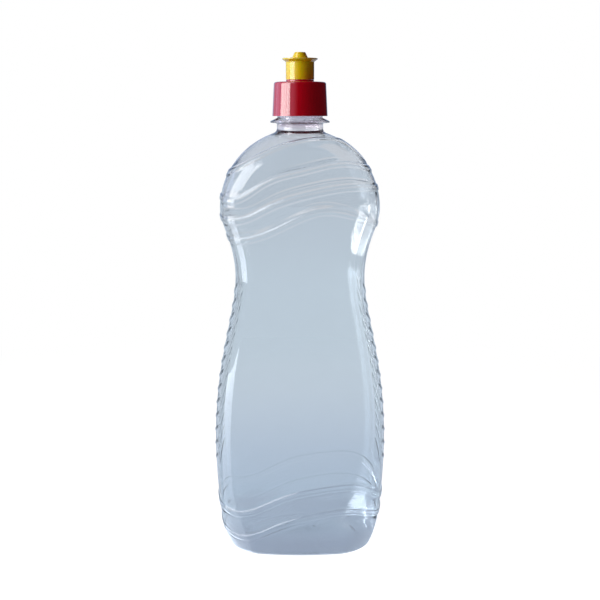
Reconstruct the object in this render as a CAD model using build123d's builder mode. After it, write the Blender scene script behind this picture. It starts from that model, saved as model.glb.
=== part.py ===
from build123d import *

import os
from math import cos, hypot, radians, sin

# Dish soap bottle: a clear blown bottle, its screw cap with a push-pull nozzle, and the seal between them.
# Millimetres, +Z up. The origin is on the table, in the middle of the base, and the neck's axis is +Z.

# Bottle body, from the base up: heights, and half widths across X
base_half_width = 40.6
base_flare = 0.5
foot_z = 30.0
foot_half_width = 47.2
bulge_z = 64.0
bulge_half_width = 48.7
flank_z = 100.0
flank_half_width = 45.7
hip_z = 130.0
hip_half_width = 39.9
waist_z = 157.0
waist_half_width = 36.5
chest_z = 178.0
chest_half_width = 40.5
shoulder_z = 194.0
shoulder_half_width = 44.8
dome_height = 43.6
dome_angle = 76
section_count = 19

# Bottle body, across: depth, corners, and how far the crowned side and front faces turn to each edge.
# The base's corners are rounder, and settle to the body's own over the base corner height.
body_half_depth = 34.0
bulge_corner_radius = 12.0
waist_corner_radius = 8.5
base_corner_radius = 26.0
base_corner_height = 45.0
dome_fullness = 0.765
side_turn = 12
front_turn = 10

# Walls, heel and base
body_wall = 0.5
heel_radius = 3.5
standing_ring_width = 3.2
push_up_height = 7.0
push_up_bend_rise = 0.6
push_up_bend_share = 0.8
push_up_top_share = 0.35

# Wave ridges: where each one's middle line passes on the front, (x, z) from left to right
wave_width = 4.0
wave_height = 0.9
waves = (
    ((-44, 211.5), (-30, 218.8), (-11, 228.0), (10, 232.3), (23, 230.9), (34, 223.0)),
    ((-47, 201.5), (-36, 199.4), (-19, 208.3), (3, 215.0), (26, 218.7), (41, 215.0)),
    ((-48, 190.5), (-34, 188.2), (-16, 195.6), (5, 202.4), (29, 206.2), (49, 205.0)),
    ((-48, 180.0), (-33, 177.8), (-11, 184.5), (13, 193.4), (32, 190.0), (48, 183.0)),
    ((-51, 30.0), (-35, 24.2), (-11, 32.8), (19, 39.6), (34, 39.4), (51, 26.0)),
    ((-51, 18.0), (-35, 9.9), (-11, 17.8), (11, 24.0), (34, 25.3), (51, 18.5)),
)

# Side grips: chevron ribs on both narrow sides, pointing down
grip_count = 13
grip_low_z = 48.0
grip_pitch = 8.1
grip_half_span = 21.0
grip_drop = 8.0
grip_width = 1.9
grip_height = 0.6

# Neck finish, for a 28 mm cap
neck_radius = 12.9
neck_root_fillet = 2.5
neck_fillet_z = 232.0
ring_z = 240.9
ring_thickness = 0.8
ring_slope = 1.9
ring_radius = 16.5
ring_chamfer = 0.25
finish_height = 17.0
finish_radius = 12.6
neck_bore_radius = 10.9
rim_fillet = 0.4
thread_pitch = 25.4 / 6
thread_turns = 1.5
thread_radius = 13.7
thread_start = 4.2
thread_root_width = 2.0
thread_crest_width = 0.9
thread_sink = 0.3

# Seal
seal_thickness = 1.0
seal_radius = 12.8
seal_bore_radius = 10.6

# Cap
cap_ring_gap = 0.9
cap_low_radius = 15.35
cap_top_radius = 14.45
cap_plate = 1.5
cap_corner = 1.2
cap_mouth_chamfer = 0.4
cap_thread_clearance = 0.2
cap_thread_turns = 1.25
cap_thread_height = 0.9
cap_thread_root_width = 1.5
cap_thread_crest_width = 0.7
flank_clearance = 0.15
boss_radius = 7.75
boss_height = 1.15
boss_fillet = 0.3
tower_radius = 6.3
tower_wall = 1.2
bead_height = 1.2
bead_stand = 0.3
tower_lead = 0.3
pin_radius = 1.6
pin_short = 0.4
pin_fillet = 0.5
spoke_count = 3
spoke_width = 1.2
spoke_height = 2.0

# Nozzle
barrel_radius = 7.85
barrel_height = 9.6
nozzle_travel = 5.5
nozzle_seat_gap = 0.1
sliding_clearance = 0.1
lip_height = 1.1
flange_radius = 9.8
flange_bevel = 1.4
flange_thickness = 0.6
flange_edge = 0.25
flare_height = 0.8
tip_base_radius = 4.2
tip_radius = 2.95
tip_height = 3.3
tip_edge = 0.4
funnel_height = 3.6

# Levels and radii that follow from the sizes above
finish_low_z = ring_z + ring_thickness + ring_slope
finish_z = finish_low_z + finish_height
plate_low_z = finish_z + seal_thickness
cap_top_z = plate_low_z + cap_plate
cap_low_z = finish_low_z + cap_ring_gap
boss_z = cap_top_z + boss_height
nozzle_z = boss_z + nozzle_seat_gap
bead_z = nozzle_z + lip_height + nozzle_travel + sliding_clearance
tower_z = bead_z + bead_height + tower_lead
bead_radius = tower_radius + bead_stand
flange_z = nozzle_z + barrel_height
flange_top_z = flange_z + flange_bevel + flange_thickness
tip_z = flange_top_z + tip_height
cap_bore_radius = thread_radius + cap_thread_clearance
nozzle_bore_radius = bead_radius + sliding_clearance
lip_radius = tower_radius + sliding_clearance
orifice_radius = pin_radius + sliding_clearance
funnel_low_z = tower_z + sliding_clearance

# The cap's thread bears on the underside of the bottle's thread
flank_drop = (thread_root_width + cap_thread_root_width) / 2 + flank_clearance
cap_thread_z = finish_low_z + thread_start + thread_pitch - flank_drop


# Threads: height off the wall, width at the wall and width at the crest
bottle_thread = (thread_radius - finish_radius, thread_root_width, thread_crest_width)
cap_thread = (-cap_thread_height, cap_thread_root_width, cap_thread_crest_width)


def side_sections():
    """Height, half width, half depth and corner radius at even steps up the body's side, from base to neck."""
    sides = (
        (base_half_width, 0),
        (foot_half_width, foot_z),
        (bulge_half_width, bulge_z),
        (flank_half_width, flank_z),
        (hip_half_width, hip_z),
        (waist_half_width, waist_z),
        (chest_half_width, chest_z),
        (shoulder_half_width, shoulder_z),
    )
    with BuildLine() as side:
        Spline(*sides, tangents=((base_flare, 1), (0, 1)))
        EllipticalCenterArc((0, shoulder_z), shoulder_half_width, dome_height, arc_size=dome_angle)
    path = side.wires()[0]
    rows = []
    for i in range(section_count):
        point = path @ (i / (section_count - 1))
        narrowing = point.X / shoulder_half_width if point.Y > shoulder_z else 1.0
        half_depth = body_half_depth * narrowing**dome_fullness
        corner = corner_radius(min(point.X, bulge_half_width) if point.Y < shoulder_z else shoulder_half_width)
        corner += (base_corner_radius - corner) * max(0.0, 1 - point.Y / base_corner_height) ** 2
        corner = half_depth - (body_half_depth - corner) * half_depth / body_half_depth * narrowing**2
        rows.append((point.Y, point.X, half_depth, corner))
    return rows


def corner_radius(half_width):
    """The corner radius grows from the waist's to the bulge's as the body widens."""
    share = (half_width - waist_half_width) / (bulge_half_width - waist_half_width)
    return waist_corner_radius + share * (bulge_corner_radius - waist_corner_radius)


def oval(half_width, half_depth, corner):
    """A closed outline of eight tangent arcs: crowned sides and faces, joined by four corners."""
    side_c, side_s = cos(radians(side_turn)), sin(radians(side_turn))
    front_c, front_s = cos(radians(front_turn)), sin(radians(front_turn))
    across = half_width - corner * (side_c - front_s)
    along = half_depth - corner * (front_c - side_s)
    scale = (1 - side_c) * (1 - front_c) - front_s * side_s
    side_radius = (across * (1 - front_c) - along * front_s) / scale
    front_radius = (along * (1 - side_c) - across * side_s) / scale
    side_end = Vector(half_width - side_radius * (1 - side_c), side_radius * side_s)
    front_end = Vector(front_radius * front_s, half_depth - front_radius * (1 - front_c))
    corner_middle = side_end + corner * Vector(cos(radians(45)) - side_c, sin(radians(45)) - side_s)
    with BuildLine() as line:
        ThreePointArc(side_end, corner_middle, front_end)
        mirror(about=Plane.YZ)
        mirror(about=Plane.XZ)
        for x in (-1, 1):
            ThreePointArc((x * side_end.X, side_end.Y), (x * half_width, 0), (x * side_end.X, -side_end.Y))
        for y in (-1, 1):
            ThreePointArc((-front_end.X, y * front_end.Y), (0, y * half_depth), (front_end.X, y * front_end.Y))
    return line.line


def body(outset, floor=0.0):
    """The body as one smooth loft, its surface moved out along its normal by outset, its base at floor."""
    rows = side_sections()
    with BuildPart() as form:
        for i, (z, half_width, half_depth, corner) in enumerate(rows):
            low = rows[max(i - 1, 0)]
            high = rows[min(i + 1, len(rows) - 1)]
            out_x = outset * hypot(1, (high[1] - low[1]) / (high[0] - low[0]))
            out_y = outset * hypot(1, (high[2] - low[2]) / (high[0] - low[0]))
            with BuildSketch(Plane.XY.offset(z)):
                add(oval(half_width + out_x, half_depth + out_y, corner + min(out_x, out_y)))
                make_face()
        loft()
        if floor:
            split(bisect_by=Plane.XY.offset(floor), keep=Keep.TOP)
        fillet(form.edges().group_by(Axis.Z)[0], heel_radius + outset)
    return form.part


def push_up(wall):
    """The hollow under the base, inside the standing ring, its surface moved out by wall."""
    rim_x = base_half_width - heel_radius - standing_ring_width + wall
    rim_y = body_half_depth - heel_radius - standing_ring_width + wall
    top = push_up_height + wall
    with BuildPart() as dome:
        for rise, share in ((0, 1.0), (push_up_bend_rise, push_up_bend_share), (1.0, push_up_top_share)):
            with BuildSketch(Plane.XY.offset(rise * top)):
                Ellipse(rim_x * share, rim_y * share)
        loft()
    return dome.part


def thread(radius, low_z, turns, height, root_width, crest_width):
    """A moulded thread of trapezoid section, wound up from low_z, sunk into its wall. Inward if height is negative."""
    side = 1 if height > 0 else -1
    with BuildPart() as ridge:
        with BuildLine() as path:
            Helix(thread_pitch, thread_pitch * turns, radius, center=(0, 0, low_z))
        with BuildSketch(Plane(origin=path.line @ 0, x_dir=(side, 0, 0), z_dir=path.line % 0)):
            Polygon(
                (-thread_sink, -root_width / 2),
                (-thread_sink, root_width / 2),
                (abs(height), crest_width / 2),
                (abs(height), -crest_width / 2),
                align=None,
            )
        sweep(is_frenet=True)
    return ridge.part


# Bottle
wave_skin = body(wave_height)
with BuildPart() as wave_ridges:
    for points in waves:
        with BuildSketch(Plane.XZ):
            with BuildLine():
                Spline(*points)
            trace(line_width=wave_width)
        extrude(amount=2 * body_half_depth, both=True)
    add(wave_skin, mode=Mode.INTERSECT)

grip_skin = body(grip_height)
with BuildPart() as grips:
    with BuildSketch(Plane.YZ):
        for i in range(grip_count):
            low = grip_low_z + i * grip_pitch
            with BuildLine():
                Polyline((-grip_half_span, low + grip_drop), (0, low), (grip_half_span, low + grip_drop))
            trace(line_width=grip_width)
    extrude(amount=2 * bulge_half_width, both=True)
    add(grip_skin, mode=Mode.INTERSECT)

with BuildPart() as cavity:
    add(body(-body_wall, floor=body_wall))
    add(push_up(body_wall), mode=Mode.SUBTRACT)

with BuildPart() as bottle:
    add(body(0.0))
    with Locations((0, 0, shoulder_z)):
        Cylinder(neck_radius, ring_z - shoulder_z, align=(Align.CENTER, Align.CENTER, Align.MIN))
    neck_root = bottle.edges().filter_by_position(Axis.Z, neck_fillet_z, ring_z - neck_root_fillet)
    fillet(neck_root.filter_by(GeomType.LINE, reverse=True), neck_root_fillet)
    add(wave_ridges.part)
    add(grips.part)
    add(push_up(0.0), mode=Mode.SUBTRACT)
    with Locations((0, 0, ring_z)):
        Cylinder(ring_radius, ring_thickness, align=(Align.CENTER, Align.CENTER, Align.MIN))
        Cylinder(finish_radius, finish_z - ring_z, align=(Align.CENTER, Align.CENTER, Align.MIN))
    with Locations((0, 0, ring_z + ring_thickness)):
        Cone(ring_radius, finish_radius, ring_slope, align=(Align.CENTER, Align.CENTER, Align.MIN))
    ring_rims = bottle.edges().filter_by(GeomType.CIRCLE).filter_by(lambda e: abs(e.radius - ring_radius) < 0.01)
    chamfer(ring_rims, ring_chamfer)
    fillet(bottle.edges().group_by(Axis.Z)[-1], rim_fillet)
    add(thread(finish_radius, finish_low_z + thread_start, thread_turns, *bottle_thread))
    add(cavity.part, mode=Mode.SUBTRACT)
    with Locations((0, 0, shoulder_z)):
        Cylinder(
            neck_bore_radius,
            finish_z - shoulder_z,
            align=(Align.CENTER, Align.CENTER, Align.MIN),
            mode=Mode.SUBTRACT,
        )
bottle.part.label = "bottle"

# Seal: a foam ring between the neck's rim and the cap's top plate
with BuildPart() as seal:
    with BuildSketch(Plane.XY.offset(finish_z)):
        Circle(seal_radius)
        Circle(seal_bore_radius, mode=Mode.SUBTRACT)
    extrude(amount=seal_thickness)
seal.part.label = "seal"

# Cap: skirt, top plate, boss and tower turned from one profile, then the pin on its spokes and the thread
tower_bore_radius = tower_radius - tower_wall
with BuildPart() as cap:
    with BuildSketch(Plane.XZ):
        with BuildLine():
            Polyline(
                (tower_bore_radius, plate_low_z),
                (cap_bore_radius, plate_low_z),
                (cap_bore_radius, cap_low_z + cap_mouth_chamfer),
                (cap_bore_radius + cap_mouth_chamfer, cap_low_z),
                (cap_low_radius, cap_low_z),
                (cap_top_radius, cap_top_z),
                (boss_radius, cap_top_z),
                (boss_radius, boss_z),
                (tower_radius, boss_z),
                (tower_radius, bead_z),
                (bead_radius, bead_z),
                (bead_radius, bead_z + bead_height - bead_stand),
                (tower_radius, bead_z + bead_height),
                (tower_radius - tower_lead, tower_z),
                (tower_bore_radius, tower_z),
                close=True,
            )
        make_face()
    revolve(axis=Axis.Z)
    rims = cap.edges().filter_by(GeomType.CIRCLE)
    top_rim = rims.filter_by(lambda e: abs(e.radius - cap_top_radius) < 0.01)
    boss_rim = rims.filter_by(lambda e: abs(e.radius - boss_radius) < 0.01)
    fillet(top_rim, cap_corner)
    fillet(boss_rim.sort_by(Axis.Z)[-1], boss_fillet)
    with BuildSketch(Plane.XY.offset(tower_z - spoke_height)):
        with PolarLocations(0, spoke_count):
            Rectangle(tower_bore_radius + tower_wall / 2, spoke_width, align=(Align.MIN, Align.CENTER))
        Circle(pin_radius)
    extrude(amount=spoke_height)
    with BuildSketch(Plane.XY.offset(tower_z)):
        Circle(pin_radius)
    extrude(amount=tip_z - pin_short - tower_z)
    fillet(cap.edges().group_by(Axis.Z)[-1], pin_fillet)
    add(thread(cap_bore_radius, cap_thread_z, cap_thread_turns, *cap_thread))
cap.part.label = "cap"

# Nozzle: barrel, flange and tapered tip turned from one profile, with the bore that slides on the tower
with BuildPart() as nozzle:
    with BuildSketch(Plane.XZ):
        with BuildLine():
            Polyline(
                (lip_radius, nozzle_z),
                (barrel_radius, nozzle_z),
                (barrel_radius, flange_z),
                (flange_radius, flange_z + flange_bevel),
                (flange_radius, flange_top_z),
                (tip_base_radius + flare_height, flange_top_z),
            )
            Spline(
                (tip_base_radius + flare_height, flange_top_z),
                (tip_base_radius, flange_top_z + flare_height),
                tangents=((-1, 0), (tip_radius - tip_base_radius, tip_height - flare_height)),
            )
            Polyline(
                (tip_base_radius, flange_top_z + flare_height),
                (tip_radius, tip_z),
                (orifice_radius, tip_z),
                (orifice_radius, funnel_low_z + funnel_height),
                (nozzle_bore_radius, funnel_low_z),
                (nozzle_bore_radius, nozzle_z + lip_height),
                (lip_radius, nozzle_z + lip_height - bead_stand),
                (lip_radius, nozzle_z),
            )
        make_face()
    revolve(axis=Axis.Z)
    rims = nozzle.edges().filter_by(GeomType.CIRCLE)
    fillet(rims.filter_by(lambda e: abs(e.radius - flange_radius) < 0.01), flange_edge)
    fillet(rims.filter_by(lambda e: abs(e.radius - tip_radius) < 0.01), tip_edge)
nozzle.part.label = "nozzle"

os.makedirs("parts", exist_ok=True)
for piece in (bottle, seal, cap, nozzle):
    export_step(piece.part, f"parts/{piece.part.label}.step")
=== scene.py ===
# Dish soap bottle: the looks of the clear blown bottle, its screw cap, push-pull nozzle and seal.
# The shapes are worked out in millimetres, from the sizes of the CAD model, and put in the scene in metres.

import math

import bpy
import numpy as np
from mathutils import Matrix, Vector


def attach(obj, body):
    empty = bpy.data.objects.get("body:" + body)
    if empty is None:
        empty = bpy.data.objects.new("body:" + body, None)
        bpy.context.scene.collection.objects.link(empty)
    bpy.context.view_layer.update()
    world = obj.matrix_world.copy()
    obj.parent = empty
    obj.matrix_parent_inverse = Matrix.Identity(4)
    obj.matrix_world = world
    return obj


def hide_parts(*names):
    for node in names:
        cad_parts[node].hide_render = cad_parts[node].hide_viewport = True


MM = 0.001

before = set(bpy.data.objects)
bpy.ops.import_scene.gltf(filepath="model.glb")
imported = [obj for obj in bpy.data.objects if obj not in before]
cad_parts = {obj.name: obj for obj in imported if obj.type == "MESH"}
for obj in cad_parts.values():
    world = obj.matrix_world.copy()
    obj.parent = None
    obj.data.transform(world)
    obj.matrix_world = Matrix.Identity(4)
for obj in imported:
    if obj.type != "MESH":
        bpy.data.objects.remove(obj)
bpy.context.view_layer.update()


# Sizes of the bottle's body, from the base up: half widths across X and the heights where they are
SIDE = (
    (40.6, 0.0),
    (47.2, 30.0),
    (48.7, 64.0),
    (45.7, 100.0),
    (39.9, 130.0),
    (36.5, 157.0),
    (40.5, 178.0),
    (44.8, 194.0),
)
BASE_FLARE = 0.5
SHOULDER_Z = 194.0
SHOULDER_HALF_WIDTH = 44.8
DOME_HEIGHT = 43.6
DOME_TURN = math.radians(80)
BODY_HALF_DEPTH = 34.0
WAIST_HALF_WIDTH = 36.5
BULGE_HALF_WIDTH = 48.7
WAIST_CORNER = 8.5
BULGE_CORNER = 12.0
BASE_CORNER = 26.0
BASE_CORNER_HEIGHT = 45.0
DOME_FULLNESS = 0.765
SIDE_TURN = math.radians(12)
FRONT_TURN = math.radians(10)
WALL = 0.5

# Heel, standing ring and the push-up in the base: (share of its rim, height) from its middle out, and its way
# down at the rim. Below the fold's height a soft fold takes over, and lands at a share of the ring's width.
HEEL_RADIUS = 3.5
RING_WIDTH = 3.2
PUSH_UP = ((0.0, 7.3), (0.35, 6.9), (0.8, 4.2), (1.0, 0.0))
PUSH_UP_FOOT = (0.5, -0.87)
FOLD_Z = 1.4
FOLD_LANDING = 0.5
MIDDLE_WALL = 1.8

# Faint waves round the push-up: their height, and the count, turn in radians and share of each
RIPPLE = 0.01
RIPPLE_WAVES = ((5, 1.0, 1.0), (9, 2.3, 1.0), (14, 0.7, 0.6))

# Middle lines of the wave ridges on the front, (x, z), from the neck down
WAVES = (
    ((-44, 211.5), (-30, 218.8), (-11, 228.0), (10, 232.3), (23, 230.9), (34, 223.0)),
    ((-47, 201.5), (-36, 199.4), (-19, 208.3), (3, 215.0), (26, 218.7), (41, 215.0)),
    ((-48, 190.5), (-34, 188.2), (-16, 195.6), (5, 202.4), (29, 206.2), (49, 205.0)),
    ((-48, 180.0), (-33, 177.8), (-11, 184.5), (13, 193.4), (32, 190.0), (48, 183.0)),
    ((-51, 30.0), (-35, 24.2), (-11, 32.8), (19, 39.6), (34, 39.4), (51, 26.0)),
    ((-51, 18.0), (-35, 9.9), (-11, 17.8), (11, 24.0), (34, 25.3), (51, 18.5)),
)
WAVE_WIDTH = 4.2
WAVE_FLANK = 1.1
WAVE_HEIGHT = 0.6
INNER_FLANK = 1.2
INNER_SHARE = 0.95

# How far across the shell's rows follow a wave line, by its number, and how steeply they fall past that
ROW_REACH = {0: 26.0}
FULL_REACH = 60.0
ROW_FALL = -0.55

# Chevron grips on the narrow sides
GRIP_COUNT = 13
GRIP_LOW_Z = 48.0
GRIP_PITCH = 8.1
GRIP_HALF_SPAN = 21.0
GRIP_DROP = 8.0
GRIP_TILT = math.hypot(1, GRIP_DROP / GRIP_HALF_SPAN)
GRIP_RISE_END = 24.0
GRIP_WIDTH = 2.9
GRIP_HEIGHT = 0.45
GRIP_FADE = 2.5
GRIP_SIDE_SHARE = 0.6

# Neck and finish. The roundings are those of the profile's corners, from the neck up and down into the bore.
NECK_ROOT_Z = 235.0
NECK_FOOT_Z = 237.6
NECK_START = 0.8
NECK_RADIUS = 12.9
ROOT_FULLNESS = 1.2
INNER_ROOT_DROP = 0.3
RING_Z = 240.9
RING_UNDER = 0.4
RING_THICKNESS = 0.8
RING_SLOPE = 1.9
SUPPORT_RADIUS = 16.5
FINISH_RADIUS = 12.6
FINISH_Z = 260.6
BORE_RADIUS = 10.9
NECK_ROUNDINGS = (0.5, 0.25, 0.25, 0.4, 0.4, 0.4)
THREAD_PITCH = 25.4 / 6
THREAD_TURNS = 1.5
THREAD_START_Z = 247.8
THREAD_ROOT = 2.0
THREAD_CREST = 0.9
THREAD_HEIGHT = 1.1
THREAD_FADE = 0.04
THREAD_MARGIN = 0.1

# How finely the curves are divided, and the shell: columns round it, which crowd a little into the corners
SIDE_STEPS = 600
DOME_STEPS = 400
WAVE_STEPS = 200
LEAN_STEP = 0.5
COLUMNS = 176
CORNER_CROWD = 8.0

# The shell's rows: in the base, across each ridge as shares of its flank, across each grip as shares of its
# width, up the neck's root and along the thread
PUSH_UP_ROWS = 25
FOLD_ROWS = (0.15, 0.3, 0.45, 0.6, 0.75, 0.88, 1.0)
FLAT_ROWS = (0.67, 0.84, 1.0)
HEEL_ROWS = 9
RIDGE_ROWS = (-0.25, 0.0, 0.2, 0.4, 0.6, 0.8, 1.0, 1.4)
GRIP_ROWS = (-0.62, -0.42, -0.22, 0.0, 0.22, 0.42, 0.62, 1.1)
ROOT_ROWS = (0.14, 0.28, 0.42, 0.56, 0.7, 0.85, 1.0)
THREAD_ROWS = 36

# Wave lines below and above the grips, from below, each with the number of steps up to it
LOW_LINES = ((5, 7), (4, 6))
HIGH_LINES = ((3, 9), (2, 5), (1, 5), (0, 6))
STEPS_TO_GRIPS = 9
STEPS_TO_NECK = 6

# Each row finds its height round by round, from a first guess by the line below it
ROW_ROUNDS = 60
ROW_STEP = 0.5
FIRST_Z = {"heel": 25.0, 5: 25.0, 4: 25.0, 3: 200.0, 2: 200.0, 1: 200.0, 0: 200.0}
MIDDLE_Z = 100.0

# A distance for points that no ridge or grip comes near
FAR = 1000.0


def smooth_curve(points, count, ends=None):
    """A smooth curve through the points, as count rows of (x, z). Its end ways are free unless given."""
    points = np.array(points, float)
    steps = np.linalg.norm(np.diff(points, axis=0), axis=1)
    knots = np.concatenate([[0], np.cumsum(steps)])
    size = len(points)
    matrix = np.zeros((size, size))
    values = np.zeros((size, 2))
    if ends:
        matrix[0, 0] = matrix[-1, -1] = 1
        values[0], values[-1] = ends
    else:
        matrix[0, :2] = 2, 1
        matrix[-1, -2:] = 1, 2
        values[0] = 3 * (points[1] - points[0]) / steps[0]
        values[-1] = 3 * (points[-1] - points[-2]) / steps[-1]
    for i in range(1, size - 1):
        low, high = steps[i - 1], steps[i]
        matrix[i, i - 1] = high
        matrix[i, i] = 2 * (low + high)
        matrix[i, i + 1] = low
        rise_low = (points[i] - points[i - 1]) / low
        rise_high = (points[i + 1] - points[i]) / high
        values[i] = 3 * (high * rise_low + low * rise_high)
    slopes = np.linalg.solve(matrix, values)
    at = np.linspace(0, knots[-1], count)
    piece = np.clip(np.searchsorted(knots, at, side="right") - 1, 0, size - 2)
    length = (knots[piece + 1] - knots[piece])[:, None]
    share = (at - knots[piece])[:, None] / length
    ways = slopes[piece] * length, slopes[piece + 1] * length
    return hermite(share, points[piece], ways[0], points[piece + 1], ways[1])


def hermite(t, start, start_way, end, end_way):
    """The point at a share t of a cubic piece between two points, with its directions at both."""
    return (
        (2 * t**3 - 3 * t**2 + 1) * start
        + (t**3 - 2 * t**2 + t) * start_way
        + (3 * t**2 - 2 * t**3) * end
        + (t**3 - t**2) * end_way
    )


# Side of the body as a dense table of half widths by height: a spline to the shoulder, then a dome
base_way = np.array((BASE_FLARE, 1.0)) / math.hypot(BASE_FLARE, 1)
side_table = smooth_curve(SIDE, SIDE_STEPS, (base_way, (0, 1)))
dome_turn = np.linspace(0, DOME_TURN, DOME_STEPS)[1:]
dome_table = np.stack(
    [SHOULDER_HALF_WIDTH * np.cos(dome_turn), SHOULDER_Z + DOME_HEIGHT * np.sin(dome_turn)], axis=1
)
side_table = np.concatenate([side_table, dome_table])


def section(z):
    """Half width, half depth and corner radius of the body at each height."""
    half_width = np.interp(z, side_table[:, 1], side_table[:, 0])
    narrowing = np.where(z > SHOULDER_Z, half_width / SHOULDER_HALF_WIDTH, 1.0)
    half_depth = BODY_HALF_DEPTH * narrowing**DOME_FULLNESS
    bulge = np.where(z < SHOULDER_Z, np.minimum(half_width, BULGE_HALF_WIDTH), SHOULDER_HALF_WIDTH)
    share = (bulge - WAIST_HALF_WIDTH) / (BULGE_HALF_WIDTH - WAIST_HALF_WIDTH)
    corner = WAIST_CORNER + share * (BULGE_CORNER - WAIST_CORNER)
    corner = corner + (BASE_CORNER - corner) * np.maximum(1 - z / BASE_CORNER_HEIGHT, 0) ** 2
    corner = half_depth - (BODY_HALF_DEPTH - corner) * half_depth / BODY_HALF_DEPTH * narrowing**2
    return half_width, half_depth, corner


def oval_point(turn, half_width, half_depth, corner):
    """Points at each share of a turn round an outline of eight tangent arcs: four faces, four corners."""
    side_c, side_s = math.cos(SIDE_TURN), math.sin(SIDE_TURN)
    front_c, front_s = math.cos(FRONT_TURN), math.sin(FRONT_TURN)
    across = half_width - corner * (side_c - front_s)
    along = half_depth - corner * (front_c - side_s)
    scale = (1 - side_c) * (1 - front_c) - front_s * side_s
    side_radius = (across * (1 - front_c) - along * front_s) / scale
    front_radius = (along * (1 - side_c) - across * side_s) / scale
    corner_turn = math.pi / 2 - SIDE_TURN - FRONT_TURN
    quarter = np.floor(turn * 4).astype(int) % 4
    within = turn * 4 - np.floor(turn * 4)
    within = np.where(quarter % 2 == 1, 1 - within, within)
    # Each arc counts for its length and a share of its turn, so columns crowd where the wall turns fastest
    side_span = side_radius * SIDE_TURN * (1 + CORNER_CROWD / side_radius)
    corner_span = corner * corner_turn * (1 + CORNER_CROWD / corner)
    front_span = front_radius * FRONT_TURN * (1 + CORNER_CROWD / front_radius)
    at = within * (side_span + corner_span + front_span)
    side_a = at / side_span * SIDE_TURN
    corner_a = SIDE_TURN + (at - side_span) / corner_span * corner_turn
    front_a = math.pi / 2 - FRONT_TURN + (at - side_span - corner_span) / front_span * FRONT_TURN
    corner_x = half_width - side_radius * (1 - side_c) - corner * side_c
    corner_y = side_radius * side_s - corner * side_s
    on_side = at <= side_span
    on_corner = (at > side_span) & (at <= side_span + corner_span)
    x = np.where(on_corner, corner_x + corner * np.cos(corner_a), front_radius * np.cos(front_a))
    x = np.where(on_side, half_width - side_radius * (1 - np.cos(side_a)), x)
    front_y = half_depth - front_radius * (1 - np.sin(front_a))
    y = np.where(on_corner, corner_y + corner * np.sin(corner_a), front_y)
    y = np.where(on_side, side_radius * np.sin(side_a), y)
    x = np.where((quarter == 1) | (quarter == 2), -x, x)
    y = np.where(quarter >= 2, -y, y)
    return x, y


# Wave lines as tables, so that a row of the shell can follow each one
wave_tables = [smooth_curve(points, WAVE_STEPS) for points in WAVES]


def wave_height_at(index, x):
    """Height of a wave line over each x, carried on past its ends, and how steeply it rises there."""
    table = wave_tables[index]
    rise = np.gradient(table[:, 1], table[:, 0])
    z = np.interp(x, table[:, 0], table[:, 1])
    z = z + np.where(x < table[0, 0], (x - table[0, 0]) * rise[0], 0)
    z = z + np.where(x > table[-1, 0], (x - table[-1, 0]) * rise[-1], 0)
    return z, np.interp(x, table[:, 0], rise)


def row_height_at(index, x):
    """Height of the row that follows a wave line. It leaves the line where that runs along the outline."""
    reach = ROW_REACH.get(index, FULL_REACH)
    z, rise = wave_height_at(index, np.minimum(x, reach))
    return z + np.maximum(x - reach, 0) * ROW_FALL, rise


def lean(x, y, z):
    """The share of a step along the wall, up or down it, that is a change of height."""
    half_width, half_depth, _ = section(z)
    wider, deeper, _ = section(z + LEAN_STEP)
    way_x, way_y = x / half_width**2, y / half_depth**2
    size = np.hypot(way_x, way_y)
    share_x, share_y = (way_x / size) ** 2, (way_y / size) ** 2
    slope = (share_x * (wider - half_width) + share_y * (deeper - half_depth)) / LEAN_STEP
    return 1 / np.hypot(1, slope)


def chevron_rise(y):
    """How far a grip's line has risen above its point, which is in the middle of the narrow side."""
    return GRIP_DROP * np.minimum(np.abs(y), GRIP_RISE_END) / GRIP_HALF_SPAN


def heel_lean():
    """How far the wall leans out above the heel, as an angle at each column."""
    low = np.stack(oval_point(turns, *section(np.zeros(COLUMNS))), axis=1)
    high = np.stack(oval_point(turns, *section(np.ones(COLUMNS))), axis=1)
    along = np.roll(low, -1, axis=0) - np.roll(low, 1, axis=0)
    out = np.stack([along[:, 1], -along[:, 0]], axis=1)
    out /= np.linalg.norm(out, axis=1, keepdims=True)
    return np.arctan(((high - low) * out).sum(axis=1))


turns = np.arange(COLUMNS) / COLUMNS
heel_angle = heel_lean()
heel_end = HEEL_RADIUS * (1 - np.sin(heel_angle))


def guide(name, x, y, z):
    """Height of a line that the shell's rows follow, and the rise of one millimetre off it along the wall."""
    if isinstance(name, int):
        height, rise = row_height_at(name, x)
        return height, np.hypot(1, rise) * lean(x, y, z)
    if name == "heel":
        return heel_end, np.ones_like(x)
    if name == "neck":
        return np.full_like(x, NECK_ROOT_Z), np.ones_like(x)
    count = 0 if name == "grips_low" else GRIP_COUNT - 1
    return GRIP_LOW_Z + count * GRIP_PITCH + chevron_rise(y), np.full_like(x, GRIP_TILT)


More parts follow.
